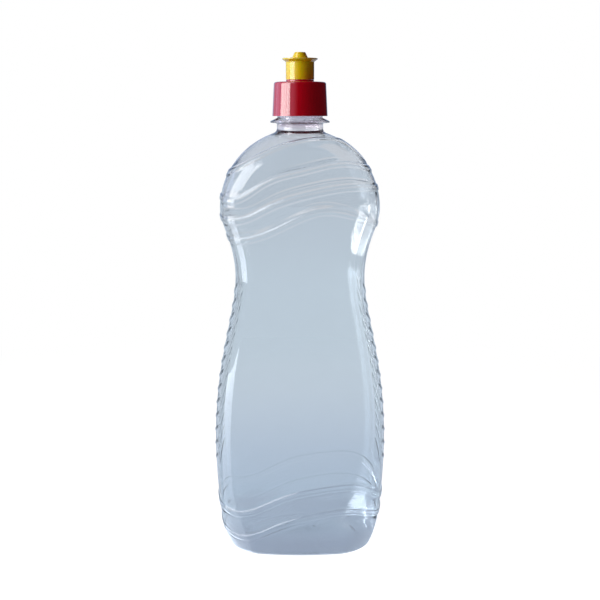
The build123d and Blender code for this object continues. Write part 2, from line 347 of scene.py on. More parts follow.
def row_plan():
    """The shell's rows up the body: (line below, distance off it, line above, distance off it, share)."""
    steps = [WAVE_WIDTH / 2 - WAVE_FLANK * share for share in RIDGE_ROWS]
    near = [-step for step in steps] + [0.0] + steps[::-1]
    rows = [("heel", 0.0, "heel", 0.0, 0.0)]

    def between(low, low_off, high, high_off, count):
        for i in range(1, count):
            rows.append((low, low_off, high, high_off, i / count))

    def across(lines, below, below_off):
        for line, count in lines:
            between(below, below_off, line, near[0], count)
            rows.extend((line, off, line, off, 0.0) for off in near)
            below, below_off = line, near[-1]

    across(LOW_LINES, "heel", 0.0)
    between(LOW_LINES[-1][0], near[-1], "grips_low", -GRIP_PITCH / 2, STEPS_TO_GRIPS)
    for i in range(GRIP_COUNT):
        for share in GRIP_ROWS:
            off = i * GRIP_PITCH / GRIP_TILT + share * GRIP_WIDTH
            rows.append(("grips_low", off, "grips_low", off, 0.0))
    across(HIGH_LINES, "grips_high", GRIP_PITCH / 2)
    between(HIGH_LINES[-1][0], near[-1], "neck", 0.0, STEPS_TO_NECK)
    rows.append(("neck", 0.0, "neck", 0.0, 0.0))
    return rows


def body_grid():
    """Points of the body's outer wall, row by row, without its ridges."""
    grid = []
    for low, low_off, high, high_off, share in row_plan():
        z = np.full(COLUMNS, FIRST_Z.get(low, MIDDLE_Z))
        for _ in range(ROW_ROUNDS):
            x, y = oval_point(turns, *section(z))
            low_z, low_stretch = guide(low, x, y, z)
            high_z, high_stretch = guide(high, x, y, z)
            low_z, high_z = low_z + low_off * low_stretch, high_z + high_off * high_stretch
            target = np.clip((1 - share) * low_z + share * high_z, heel_end, NECK_ROOT_Z)
            z += ROW_STEP * (target - z)
        x, y = oval_point(turns, *section(z))
        grid.append(np.stack([x, y, z], axis=1))
    return np.array(grid)


def base_grid():
    """Points of the base from its middle out and up round the heel, row by row, and its extra wall there."""
    half_width, half_depth, corner = section(np.zeros(COLUMNS))
    foot = HEEL_RADIUS * (np.tan(heel_angle) - 1 / np.cos(heel_angle))
    foot_x, foot_y = oval_point(turns, half_width + foot, half_depth + foot, corner + foot)
    rim_x = SIDE[0][0] - HEEL_RADIUS - RING_WIDTH
    rim_y = BODY_HALF_DEPTH - HEEL_RADIUS - RING_WIDTH
    angle = np.arctan2(foot_y / rim_y, foot_x / rim_x)
    ring_x, ring_y = rim_x * np.cos(angle), rim_y * np.sin(angle)
    dome = smooth_curve([(share * rim_x, z) for share, z in PUSH_UP], PUSH_UP_ROWS, ((1, 0), PUSH_UP_FOOT))
    ripple = sum(share * np.sin(count * angle + turn) for count, turn, share in RIPPLE_WAVES)
    grid = []
    extra = []
    for run, z in dome[1:]:
        share = run / rim_x
        if z < FOLD_Z:
            break
        swing = RIPPLE * 4 * share * (1 - share) * ripple
        grid.append(np.stack([ring_x * share, ring_y * share, z + swing], axis=1))
        extra.append((MIDDLE_WALL - WALL) * (1 - share**2) ** 2)
        fold_share, fold_z = share, z
    for step in FOLD_ROWS:
        start, bend, end = (1 - step) ** 2 * fold_share, 2 * step * (1 - step), step * step
        x = (start + bend + end) * ring_x + FOLD_LANDING * end * (foot_x - ring_x)
        y = (start + bend + end) * ring_y + FOLD_LANDING * end * (foot_y - ring_y)
        grid.append(np.stack([x, y, np.full(COLUMNS, fold_z * (1 - step) ** 2)], axis=1))
    for out in FLAT_ROWS:
        x = ring_x + (foot_x - ring_x) * out
        y = ring_y + (foot_y - ring_y) * out
        grid.append(np.stack([x, y, np.zeros(COLUMNS)], axis=1))
    for step in range(1, HEEL_ROWS):
        roll = (math.pi / 2 - heel_angle) * step / HEEL_ROWS
        out = foot + HEEL_RADIUS * np.sin(roll)
        x, y = oval_point(turns, half_width + out, half_depth + out, corner + out)
        grid.append(np.stack([x, y, HEEL_RADIUS * (1 - np.cos(roll))], axis=1))
    extra += [0] * (len(grid) - len(extra))
    return np.array(grid), np.array(extra)


def outward_ways(grid):
    """Unit vectors square to the grid's surface, pointing out of the bottle."""
    around = np.roll(grid, -1, axis=1) - np.roll(grid, 1, axis=1)
    up = np.gradient(grid, axis=0)
    ways = np.cross(around, up)
    return ways / np.maximum(np.linalg.norm(ways, axis=2, keepdims=True), 1e-9)


def turned_rows(profile, turn_x, turn_y):
    """Round rows of the neck from (radius, z) points."""
    return np.array([np.stack([turn_x * r, turn_y * r, np.full(COLUMNS, z)], axis=1) for r, z in profile])


def root_rows(edge, below_edge, end):
    """Rows that turn smoothly from the dome's top row up into an upright end."""
    way = edge - below_edge
    way = way / np.linalg.norm(way, axis=1, keepdims=True)
    reach = np.linalg.norm(end - edge, axis=1, keepdims=True) * ROOT_FULLNESS
    lift = np.array([0, 0, 1.0])
    return np.array([hermite(t, edge, way * reach, end, lift * reach) for t in ROOT_ROWS])


def rounded(profile, radii, steps=4):
    """(radius, z) points of a turned profile, with each inner corner rounded."""
    out = [profile[0]]
    for before, here, after, radius in zip(profile, profile[1:], profile[2:], radii):
        here = Vector(here)
        to_before = (Vector(before) - here).normalized()
        to_after = (Vector(after) - here).normalized()
        half = to_before.angle(to_after) / 2
        reach = radius / math.tan(half)
        start = here + to_before * reach
        end = here + to_after * reach
        centre = here + (to_before + to_after).normalized() * (radius / math.sin(half))
        for i in range(steps + 1):
            way = (start - centre).lerp(end - centre, i / steps).normalized()
            out.append(tuple(centre + way * radius))
    out.append(profile[-1])
    return out


def thread_levels():
    """Heights of the rows that carry the neck's thread."""
    margin = THREAD_ROOT / 2 + THREAD_MARGIN
    high = THREAD_START_Z + THREAD_TURNS * THREAD_PITCH + margin
    return np.linspace(THREAD_START_Z - margin, high, THREAD_ROWS)


def thread_height(angle, levels):
    """How far the thread, a trapezoid ridge that winds up, stands off the neck at each level and angle."""
    height = np.zeros((len(levels), len(angle)))
    flank = (THREAD_ROOT - THREAD_CREST) / 2
    for wound in (0, 1):
        along = (angle / (2 * math.pi)) % 1 + wound
        off = np.abs(levels[:, None] - THREAD_START_Z - THREAD_PITCH * along)
        end = np.clip(np.minimum(along, THREAD_TURNS - along) / THREAD_FADE, 0, 1)
        height = np.maximum(height, THREAD_HEIGHT * end * np.clip((THREAD_ROOT / 2 - off) / flank, 0, 1))
    return height


def neck_rows(round_x, round_y, angle):
    """Rows of the neck, its support ring, its thread and its bore, from the root up and down again inside."""
    profile = [
        (NECK_RADIUS, NECK_FOOT_Z + NECK_START),
        (NECK_RADIUS, RING_Z - RING_UNDER),
        (SUPPORT_RADIUS, RING_Z),
        (SUPPORT_RADIUS, RING_Z + RING_THICKNESS),
        (FINISH_RADIUS, RING_Z + RING_THICKNESS + RING_SLOPE),
        (FINISH_RADIUS, FINISH_Z),
        (BORE_RADIUS, FINISH_Z),
        (BORE_RADIUS, NECK_FOOT_Z + NECK_START),
    ]
    neck = rounded(profile, NECK_ROUNDINGS)
    thread_z = thread_levels()
    start = next(i for i, (_, z) in enumerate(neck) if z > thread_z[-1])
    threaded = neck[:start] + [(FINISH_RADIUS, z) for z in thread_z] + neck[start:]
    rows = turned_rows(threaded, round_x, round_y)
    height = thread_height(angle, thread_z)
    rows[start:start + THREAD_ROWS, :, :2] *= 1 + height[:, :, None] / FINISH_RADIUS
    return rows


def inner_rows(base_count):
    """The rows that the inner wall keeps. It has fewer along the ridges, which it follows more softly."""
    kept = list(range(base_count))
    for i, (low, _, high, _, _) in enumerate(row_plan()):
        along_wave = low == high and isinstance(low, int)
        along_grip = low == high == "grips_low"
        if not (along_wave or along_grip) or i % 2 == 0:
            kept.append(base_count + i)
    return kept


def ridge_distances(body):
    """How far each point of the body is from a wave line and a grip line, and how fully the grips show."""
    x, y, z = body[:, :, 0], body[:, :, 1], body[:, :, 2]
    to_wave = np.full(body.shape[:2], FAR)
    for index in range(len(WAVES)):
        line, rise = wave_height_at(index, x)
        to_wave = np.minimum(to_wave, np.abs(z - line) / np.hypot(1, rise) / lean(x, y, z))
    off = (z - GRIP_LOW_Z - chevron_rise(y)) / GRIP_PITCH
    rib = np.clip(np.round(off), 0, GRIP_COUNT - 1)
    to_grip = np.abs(off - rib) * GRIP_PITCH / GRIP_TILT
    end = np.clip((GRIP_HALF_SPAN - np.abs(y)) / GRIP_FADE, 0, 1)
    on_side = np.abs(x) > GRIP_SIDE_SHARE * WAIST_HALF_WIDTH
    return to_wave, to_grip, end * end * (3 - 2 * end) * on_side


def shell_faces(rows):
    """Faces between the rows, and a fan at each end round a pole. The poles come after the rows' points."""
    faces = []
    last = (rows - 1) * COLUMNS
    for c in range(COLUMNS):
        d = (c + 1) % COLUMNS
        faces.append((rows * COLUMNS, d, c))
        faces.append((rows * COLUMNS + 1, last + c, last + d))
        for r in range(0, last, COLUMNS):
            faces.append((r + c, r + d, r + COLUMNS + d, r + COLUMNS + c))
    return faces


def shell_mesh():
    """The bottle as one closed wall, with the distance to each ridge's line kept on its points."""
    base, extra = base_grid()
    body = body_grid()
    outer = np.concatenate([base, body])
    ways = outward_ways(outer)
    wall = WALL + np.concatenate([extra, np.zeros(len(body))])
    inner = outer - ways * wall[:, None, None]

    # Neck root: a smooth turn from the dome into the neck, outside and inside
    top = outer[-1]
    run = np.hypot(top[:, 0], top[:, 1])
    angle = np.arctan2(top[:, 1] / run, top[:, 0] / run)
    angle = np.unwrap(np.concatenate([angle, [angle[0] + 2 * math.pi]]))[:-1]
    round_x, round_y = np.cos(angle), np.sin(angle)
    ends = turned_rows(
        [(NECK_RADIUS, NECK_FOOT_Z), (BORE_RADIUS, NECK_FOOT_Z - INNER_ROOT_DROP)], round_x, round_y
    )
    outer_root = root_rows(outer[-1], outer[-2], ends[0])
    inner_root = root_rows(inner[-1], inner[-2], ends[1])
    neck = neck_rows(round_x, round_y, angle)
    kept = inner_rows(len(base))
    grid = np.concatenate([outer, outer_root, neck, inner_root[::-1], inner[kept][::-1]])
    plain = len(grid) - len(outer) - len(kept)

    def on_both(values, between, inner_share=1.0):
        middle = np.full((plain, *values.shape[1:]), between)
        return np.concatenate([values, middle, values[kept][::-1] * inner_share])

    wave = np.full(outer.shape[:2], FAR)
    grip = wave.copy()
    reach = np.zeros(outer.shape[:2])
    wave[len(base):], grip[len(base):], reach[len(base):] = ridge_distances(body)
    inside = np.zeros((len(grid), COLUMNS))
    inside[len(outer) + plain:] = 1
    out = on_both(ways, 0.0, INNER_SHARE)

    points = grid.reshape(-1, 3)
    poles = [points[:COLUMNS].mean(axis=0), points[-COLUMNS:].mean(axis=0)]
    points = np.concatenate([points, poles])
    mesh = bpy.data.meshes.new("bottle_shell")
    mesh.from_pydata((points * MM).tolist(), [], shell_faces(len(grid)))
    for name, values in (
        ("wave_distance", on_both(wave * MM, 1.0)),
        ("grip_distance", on_both(grip * MM, 1.0)),
        ("grip_reach", on_both(reach, 0.0)),
        ("inside", inside),
    ):
        data = np.concatenate([values.ravel(), [1.0, 1.0]])
        mesh.attributes.new(name, "FLOAT", "POINT").data.foreach_set("value", data)
    data = np.concatenate([out.reshape(-1, 3), np.zeros((2, 3))]).ravel()
    mesh.attributes.new("outward", "FLOAT_VECTOR", "POINT").data.foreach_set("vector", data)
    mesh.shade_smooth()
    return mesh


# Node trees

def new_tree(name, kind, inputs, outputs):
    """An empty node group with named sockets, given as (name, socket kind, value) and (name, socket kind)."""
    tree = bpy.data.node_groups.new(name, kind)
    for label, socket, value in inputs:
        made = tree.interface.new_socket(label, in_out="INPUT", socket_type=socket)
        if value is not None:
            made.default_value = value
    for label, socket in outputs:
        tree.interface.new_socket(label, in_out="OUTPUT", socket_type=socket)
    return tree, tree.nodes.new("NodeGroupInput"), tree.nodes.new("NodeGroupOutput")


def add_node(tree, kind, inputs=None, **settings):
    """A node with its settings, and its inputs set or linked by name or number."""
    node = tree.nodes.new(kind)
    for key, value in settings.items():
        setattr(node, key, value)
    for key, value in (inputs or {}).items():
        if isinstance(value, bpy.types.NodeSocket):
            tree.links.new(value, node.inputs[key])
        else:
            node.inputs[key].default_value = value
    return node


def math_node(tree, operation, *values):
    """The result of a Math node on the values."""
    return add_node(tree, "ShaderNodeMath", dict(enumerate(values)), operation=operation).outputs[0]


def vector_node(tree, operation, inputs, output="Vector"):
    """The result of a Vector Math node, with its inputs by number or name."""
    return add_node(tree, "ShaderNodeVectorMath", inputs, operation=operation).outputs[output]


def map_range(tree, value, low, high, to_low=0.0, to_high=1.0, kind="SMOOTHSTEP"):
    """The value taken from the span low to high into another span, and held inside that."""
    inputs = {"Value": value, "From Min": low, "From Max": high, "To Min": to_low, "To Max": to_high}
    return add_node(tree, "ShaderNodeMapRange", inputs, interpolation_type=kind).outputs["Result"]


def mix_colour(tree, share, first, second):
    """The first colour, turned into the second by a share."""
    return add_node(tree, "ShaderNodeMix", {0: share, 6: first, 7: second}, data_type="RGBA").outputs[2]


def mix_shader(tree, share, first, second):
    """The first shader, turned into the second by a share."""
    return add_node(tree, "ShaderNodeMixShader", {0: share, 1: first, 2: second}).outputs["Shader"]


def add_shader(tree, first, second):
    """The light of two shaders together."""
    return add_node(tree, "ShaderNodeAddShader", {0: first, 1: second}).outputs["Shader"]


def light_shader(tree, kind, colour, strength):
    """The light of an Emission or Background node."""
    return add_node(tree, kind, {"Color": colour, "Strength": strength}).outputs[0]


def blown_relief_tree():
    """Raises the wave ridges and the grips out of the blown wall, each as a rounded ridge along its line."""
    tree, given, out = new_tree(
        "Blown relief",
        "GeometryNodeTree",
        (
            ("Wall", "NodeSocketGeometry", None),
            ("Wave Width", "NodeSocketFloat", 0.004),
            ("Wave Flank", "NodeSocketFloat", 0.001),
            ("Inner Flank", "NodeSocketFloat", 0.002),
            ("Wave Height", "NodeSocketFloat", 0.001),
            ("Grip Width", "NodeSocketFloat", 0.002),
            ("Grip Height", "NodeSocketFloat", 0.001),
            ("Finish", "NodeSocketMaterial", None),
        ),
        (("Wall", "NodeSocketGeometry"),),
    )

    def kept(name, kind="FLOAT"):
        attribute = add_node(tree, "GeometryNodeInputNamedAttribute", {"Name": name}, data_type=kind)
        return attribute.outputs["Attribute"]

    def ridge(line, half, flank, height):
        crest = math_node(tree, "SUBTRACT", half, flank)
        return map_range(tree, kept(line), half, crest, to_high=height)

    softer = math_node(tree, "SUBTRACT", given.outputs["Inner Flank"], given.outputs["Wave Flank"])
    flank = math_node(tree, "MULTIPLY_ADD", softer, kept("inside"), given.outputs["Wave Flank"])
    half_wave = math_node(tree, "MULTIPLY", given.outputs["Wave Width"], 0.5)
    waves = ridge("wave_distance", half_wave, flank, given.outputs["Wave Height"])
    half_grip = math_node(tree, "MULTIPLY", given.outputs["Grip Width"], 0.5)
    grips = ridge("grip_distance", half_grip, half_grip, given.outputs["Grip Height"])
    grips = math_node(tree, "MULTIPLY", grips, kept("grip_reach"))
    height = math_node(tree, "ADD", waves, grips)
    push = vector_node(tree, "SCALE", {0: kept("outward", "FLOAT_VECTOR"), "Scale": height})
    raised = add_node(tree, "GeometryNodeSetPosition", {"Geometry": given.outputs["Wall"], "Offset": push})
    real = add_node(tree, "GeometryNodeRealizeInstances", {"Geometry": raised.outputs["Geometry"]})
    done = add_node(
        tree,
        "GeometryNodeSetMaterial",
        {"Geometry": real.outputs["Geometry"], "Material": given.outputs["Finish"]},
    )
    tree.links.new(done.outputs["Geometry"], out.inputs["Wall"])
    return tree


def grown(name, tree, settings, start):
    """The plain mesh object that a tree makes of a start mesh, with these named settings."""
    source = bpy.data.objects.new(name + "_source", start)
    bpy.context.collection.objects.link(source)
    modifier = source.modifiers.new("Tree", "NODES")
    modifier.node_group = tree
    for item in tree.interface.items_tree:
        if item.in_out == "INPUT" and item.name in settings:
            modifier[item.identifier] = settings[item.name]
    graph = bpy.context.evaluated_depsgraph_get()
    graph.update()
    mesh = bpy.data.meshes.new_from_object(source.evaluated_get(graph))
    bpy.data.objects.remove(source, do_unlink=True)
    mesh.name = name
    piece = bpy.data.objects.new(name, mesh)
    bpy.context.collection.objects.link(piece)
    return piece


# Materials

def new_material(name):
    """A material with an empty tree and its output node."""
    material = bpy.data.materials.new(name)
    material.use_nodes = True
    tree = material.node_tree
    tree.nodes.clear()
    return material, tree, tree.nodes.new("ShaderNodeOutputMaterial")


def surface_grain_group():
    """Fine unevenness of a plastic surface: a soft wave, a fine grain, and a mask of faint handling marks."""
    tree, given, out = new_tree(
        "Surface grain",
        "ShaderNodeTree",
        (
            ("Wave Size", "NodeSocketFloat", 30.0),
            ("Grain Size", "NodeSocketFloat", 900.0),
            ("Grain Share", "NodeSocketFloat", 0.2),
        ),
        (("Height", "NodeSocketFloat"), ("Marks", "NodeSocketFloat")),
    )
    place = add_node(tree, "ShaderNodeTexCoord").outputs["Object"]

    def noise(scale, detail, roughness=0.5):
        inputs = {"Vector": place, "Scale": scale, "Detail": detail, "Roughness": roughness}
        return add_node(tree, "ShaderNodeTexNoise", inputs).outputs["Fac"]

    wave = noise(given.outputs["Wave Size"], 1.0)
    grain = noise(given.outputs["Grain Size"], 2.0)
    fine = math_node(tree, "MULTIPLY", grain, given.outputs["Grain Share"])
    tree.links.new(math_node(tree, "ADD", wave, fine), out.inputs["Height"])
    marks = map_range(tree, noise(220.0, 4.0, 0.7), 0.55, 0.8)
    tree.links.new(marks, out.inputs["Marks"])
    return tree


def turned_normal_group():
    """The normal of a turned part, freed from facets: where it nearly points away from the axis, it does."""
    tree, given, out = new_tree(
        "Turned normal",
        "ShaderNodeTree",
        (("Least Agreement", "NodeSocketFloat", 0.95), ("Least Level", "NodeSocketFloat", 0.05)),
        (("Normal", "NodeSocketVector"),),
    )

    def in_space(vector, source, target):
        spaces = {"convert_from": source, "convert_to": target}
        node = add_node(tree, "ShaderNodeVectorTransform", {"Vector": vector}, vector_type="NORMAL", **spaces)
        return node.outputs["Vector"]

    facet = in_space(tree.nodes.new("ShaderNodeNewGeometry").outputs["Normal"], "WORLD", "OBJECT")
    flat = vector_node(tree, "MULTIPLY", {0: facet, 1: (1, 1, 0)})
    upright = vector_node(tree, "MULTIPLY", {0: facet, 1: (0, 0, 1)})
    level = vector_node(tree, "LENGTH", {0: flat}, "Value")
    place = add_node(tree, "ShaderNodeTexCoord").outputs["Object"]
    away = vector_node(tree, "NORMALIZE", {0: vector_node(tree, "MULTIPLY", {0: place, 1: (1, 1, 0)})})
    agreement = vector_node(tree, "DOT_PRODUCT", {0: flat, 1: away}, "Value")
    least = math_node(tree, "MAXIMUM", level, given.outputs["Least Level"])
    agreement = math_node(tree, "DIVIDE", agreement, least)
    is_turned = math_node(tree, "GREATER_THAN", agreement, given.outputs["Least Agreement"])
    smooth = vector_node(tree, "SCALE", {0: away, "Scale": level})
    smooth = vector_node(tree, "ADD", {0: smooth, 1: upright})
    chosen = add_node(tree, "ShaderNodeMix", {0: is_turned, 4: facet, 5: smooth}, data_type="VECTOR")
    normal = vector_node(tree, "NORMALIZE", {0: in_space(chosen.outputs[1], "OBJECT", "WORLD")})
    tree.links.new(normal, out.inputs["Normal"])
    return tree


surface_grain = surface_grain_group()
turned_normal = turned_normal_group()


def add_grain(tree, wave_size, grain_size, grain_share, strength, distance, rough, wall=None):
    """The normal and roughness that the surface grain gives a material, on a wall's normal if given."""
    grain = tree.nodes.new("ShaderNodeGroup")
    grain.node_tree = surface_grain
    for label, value in (("Wave Size", wave_size), ("Grain Size", grain_size), ("Grain Share", grain_share)):
        grain.inputs[label].default_value = value
    inputs = {"Height": grain.outputs["Height"], "Strength": strength, "Distance": distance}
    bump = add_node(tree, "ShaderNodeBump", inputs)
    if wall:
        tree.links.new(wall, bump.inputs["Normal"])
    low, high = rough
    return bump.outputs["Normal"], map_range(tree, grain.outputs["Marks"], 0.0, 1.0, low, high, "LINEAR")


# Tint of the clear plastic by height, from the base up to the neck. It holds painted light: the darker base
# is painted shade, it is a little darker from the shoulder up, and the pinkish step at the neck is a painted
# reflection of the red cap.
TINTS_WITH_PAINTED_SHADE = (
    (8.0, (0.6, 0.625, 0.668)),
    (18.0, (0.69, 0.745, 0.785)),
    (42.0, (0.712, 0.76, 0.802)),
    (95.0, (0.843, 0.87, 0.876)),
    (150.0, (0.843, 0.87, 0.876)),
    (190.0, (0.815, 0.833, 0.842)),
    (236.0, (0.815, 0.833, 0.842)),
    (240.0, (0.71, 0.66, 0.71)),
)
TINT_TOP_Z = 250.0


def clear_pet():
    """Clear blown plastic with a blue-grey tint by height: its dark base is painted shade, its pink neck a
    painted reflection of the cap. It lets lamps shine through.
    """
    material, tree, out = new_material("clear_pet")
    normal, rough = add_grain(
        tree,
        wave_size=60.0,
        grain_size=700.0,
        grain_share=0.02,
        strength=0.25,
        distance=0.0003,
        rough=(0.015, 0.05),
    )
    place = add_node(tree, "ShaderNodeTexCoord").outputs["Object"]
    height = add_node(tree, "ShaderNodeSeparateXYZ", {0: place}).outputs["Z"]
    # The tint by height paints in shade at the base and the red cap's reflection at the neck
    painted_tint = add_node(tree, "ShaderNodeValToRGB", {0: math_node(tree, "DIVIDE", height, TINT_TOP_Z * MM)})
    ramp = painted_tint.color_ramp
    for z, _ in TINTS_WITH_PAINTED_SHADE[1:-1]:
        ramp.elements.new(z / TINT_TOP_Z)
    for stop, (z, colour) in zip(ramp.elements, TINTS_WITH_PAINTED_SHADE):
        stop.position = z / TINT_TOP_Z
        stop.color = (*colour, 1)
    plastic = add_node(
        tree,
        "ShaderNodeBsdfPrincipled",
        {
            "Base Color": painted_tint.outputs["Color"],
            "Roughness": rough,
            "Normal": normal,
            "IOR": 1.57,
            "Transmission Weight": 1.0,
        },
    )
    through = add_node(tree, "ShaderNodeBsdfTransparent", {"Color": (0.93, 0.95, 0.97, 1)})
    shadow = tree.nodes.new("ShaderNodeLightPath").outputs["Is Shadow Ray"]
    shown = mix_shader(tree, shadow, plastic.outputs["BSDF"], through.outputs["BSDF"])
    tree.links.new(shown, out.inputs["Surface"])
    return material


def moulded_plastic(name, colour, depth_colour, depth_scale, depth_weight, rough, coat, painted_glow):
    """Glossy moulded plastic that lets a little light in. Its glow is painted light: an emission in its own
    colour, standing in for light that shines through it.
    """
    material, tree, out = new_material(name)
    turned = tree.nodes.new("ShaderNodeGroup")
    turned.node_tree = turned_normal
    wall = turned.outputs["Normal"]
    normal, roughness = add_grain(
        tree,
        wave_size=90.0,
        grain_size=1600.0,
        grain_share=0.15,
        strength=0.12,
        distance=0.0002,
        rough=rough,
        wall=wall,
    )
    plastic = add_node(
        tree,
        "ShaderNodeBsdfPrincipled",
        {
            "Base Color": (*colour, 1),
            "Roughness": roughness,
            "Normal": normal,
            "IOR": 1.5,
            "Subsurface Weight": depth_weight,
            "Subsurface Radius": depth_colour,
            "Subsurface Scale": depth_scale,
            "Coat Weight": coat,
            "Coat Roughness": 0.02,
            "Coat Normal": wall,
            # Painted glow: an emission in the plastic's own colour, although it is no lamp
            "Emission Color": (*colour, 1),
            "Emission Strength": painted_glow,
        },
    )
    tree.links.new(plastic.outputs["BSDF"], out.inputs["Surface"])
    return material


def seal_foam():
    """White closed-cell foam."""
    material, tree, out = new_material("seal_foam")
    place = add_node(tree, "ShaderNodeTexCoord").outputs["Object"]
    cells = add_node(tree, "ShaderNodeTexVoronoi", {"Vector": place, "Scale": 2500.0}).outputs["Distance"]
    bump = add_node(tree, "ShaderNodeBump", {"Height": cells, "Strength": 0.4, "Distance": 0.0001})
    shade = mix_colour(tree, cells, (0.93, 0.93, 0.9, 1), (0.84, 0.84, 0.8, 1))
    inputs = {"Base Color": shade, "Roughness": 0.85, "Normal": bump.outputs["Normal"]}
    foam = add_node(tree, "ShaderNodeBsdfPrincipled", inputs)
    tree.links.new(foam.outputs["BSDF"], out.inputs["Surface"])
    return material


# Pieces

cap_red = moulded_plastic(
    "cap_red",
    colour=(0.42, 0.0005, 0.008),
    depth_colour=(1.0, 0.15, 0.1),
    depth_scale=0.0006,
    depth_weight=0.15,
    rough=(0.05, 0.12),
    coat=1.0,
    # A faint painted glow lifts the cap's unlit parts
    painted_glow=0.08,
)
nozzle_yellow = moulded_plastic(
    "nozzle_yellow",
    colour=(0.8, 0.6, 0.004),
    depth_colour=(1.0, 0.3, 0.03),
    depth_scale=0.002,
    depth_weight=0.2,
    rough=(0.1, 0.2),
    coat=0.4,
    painted_glow=0.0,
)
shell = grown(
    "bottle_shell",
    blown_relief_tree(),
    {
        "Wave Width": WAVE_WIDTH * MM,
        "Wave Flank": WAVE_FLANK * MM,
        "Inner Flank": INNER_FLANK * MM,
        "Wave Height": WAVE_HEIGHT * MM,
        "Grip Width": GRIP_WIDTH * MM,
        "Grip Height": GRIP_HEIGHT * MM,
        "Finish": clear_pet(),
    },
    shell_mesh(),
)
for spare in ("wave_distance", "grip_distance", "grip_reach", "inside", "outward"):
    shell.data.attributes.remove(shell.data.attributes[spare])
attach(shell, "bottle")
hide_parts("bottle")

for node, finish in (("cap", cap_red), ("nozzle", nozzle_yellow), ("seal", seal_foam())):
    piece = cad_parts[node]
    piece.data.materials.clear()
    piece.data.materials.append(finish)


# Floor, room and light. The photograph's background was cut out to white, but the clear plastic still shows
# the blue-grey place where the bottle stood. So the floor and the room have that tone only through the glass.
# Azimuths are turned from the camera to its left, and angles are in degrees.
WHITE = (1, 1, 1, 1)
FLOOR_REACH = 20.0
FLOOR_DROP = 0.0003
FLOOR_BOUNCE = (0.4, 0.4, 0.4, 1)
FLOOR_LIT = 0.6
FLOOR_GLOW = 0.8
SHADOW_END = (0.15, 0.6)
FLOOR_THROUGH_GLASS = (0.7, 0.78, 0.88, 1)
MIRRORED_FLOOR = (0.5, 0.6, 0.72, 1)
ROOM_THROUGH_GLASS = (0.86, 0.88, 0.94, 1)
MIRRORED_ROOM = (0.62, 0.8, 1.15, 1)
FILL_COLOUR = (1.0, 0.45, 0.35, 1)
FILL_LIGHT = 0.1

# The mirrored room is darker towards the unlit way: the span of its cosine, and the light at both ends
UNLIT_WAY = (0.94, -0.34, 0.0)
UNLIT_SPAN = (-0.3, 0.25)
UNLIT_LIGHT = (0.6, 0.02)

# The windows' sheen on the floor, mirrored by gloss and by the inside of the glass: azimuths, soft edge and
# strength of each. It grows with the distance from the bottle and ends under the windows.
SHEEN = ((44, 90), 1.5, 4.0)
SHEEN_INSIDE = ((30, 165), 3, 1.3)
SHEEN_COLOUR = (0.88, 0.95, 1.05, 1)
SHEEN_GROWTH = ((0.1, 0.9), (0.2, 1.0))
SHEEN_END = (1.1, 1.0)

# Windows: (azimuths and elevations), soft edge, colour, strength, and whether only the inside of the glass
# mirrors it
WINDOWS = (
    ((44, 89, 0, 9), 2, (1.0, 1.0, 1.0), 8.5, False),
    ((44, 89, 9, 52), 2, (1.0, 1.0, 1.0), 5.0, False),
    ((26, 44, 20, 50), 2, (1.0, 1.0, 1.0), 4.5, False),
    ((89, 125, -3, 30), 2, (0.75, 0.85, 1.3), 1.0, False),
    ((34, 150, -4, 9), 3, (1.0, 1.0, 1.0), 15.0, True),
)

# The blind in the windows: pitch of its slats and cords, the share of each that is darker, and by how much
SLAT_PITCH = 0.3
SLAT_SHARE = 0.35
CORD_PITCH = 12.0
CORD_SHARE = 0.14
BLIND_SHADE = 0.55

# A ray that has passed more faces of the glass than this was inside the bottle, and one with more turns than
# this was mirrored
INSIDE_FACES = 2.5
ONE_TURN = 0.5


def shiny_ray(tree, light):
    """1 for a ray that gloss or glass sends on."""
    return math_node(tree, "MAXIMUM", light.outputs["Is Glossy Ray"], light.outputs["Is Transmission Ray"])


def was_mirrored(tree, light):
    """1 for a ray of gloss or glass that some surface has mirrored on its way."""
    turned = math_node(tree, "GREATER_THAN", light.outputs["Glossy Depth"], ONE_TURN)
    return math_node(tree, "MULTIPLY", shiny_ray(tree, light), turned)


def was_inside(tree, light):
    """1 for a ray that has been inside the bottle and passes its wall again."""
    return math_node(tree, "GREATER_THAN", light.outputs["Transmission Depth"], INSIDE_FACES)


def azimuth_of(tree, x, y):
    """The azimuth of a way or place, turned from the camera to its left."""
    return math_node(tree, "ARCTAN2", math_node(tree, "MULTIPLY", x, -1), math_node(tree, "MULTIPLY", y, -1))


def angle_band(tree, value, low, high, edge):
    """1 where an angle lies between two others, given in degrees, and 0 outside, with soft edges."""
    rise = map_range(tree, value, math.radians(low - edge), math.radians(low + edge))
    fall = map_range(tree, value, math.radians(high + edge), math.radians(high - edge))
    return math_node(tree, "MULTIPLY", rise, fall)


def slats(tree, azimuth, elevation):
    """The window's blind: thin darker lines between its slats and along its cords."""
    shade = None
    for angle, pitch, share in ((elevation, SLAT_PITCH, SLAT_SHARE), (azimuth, CORD_PITCH, CORD_SHARE)):
        along = math_node(tree, "DIVIDE", angle, math.radians(pitch))
        line = math_node(tree, "LESS_THAN", math_node(tree, "FRACT", along), share)
        kept = math_node(tree, "MULTIPLY_ADD", line, -BLIND_SHADE, 1.0)
        shade = kept if shade is None else math_node(tree, "MULTIPLY", shade, kept)
    return shade


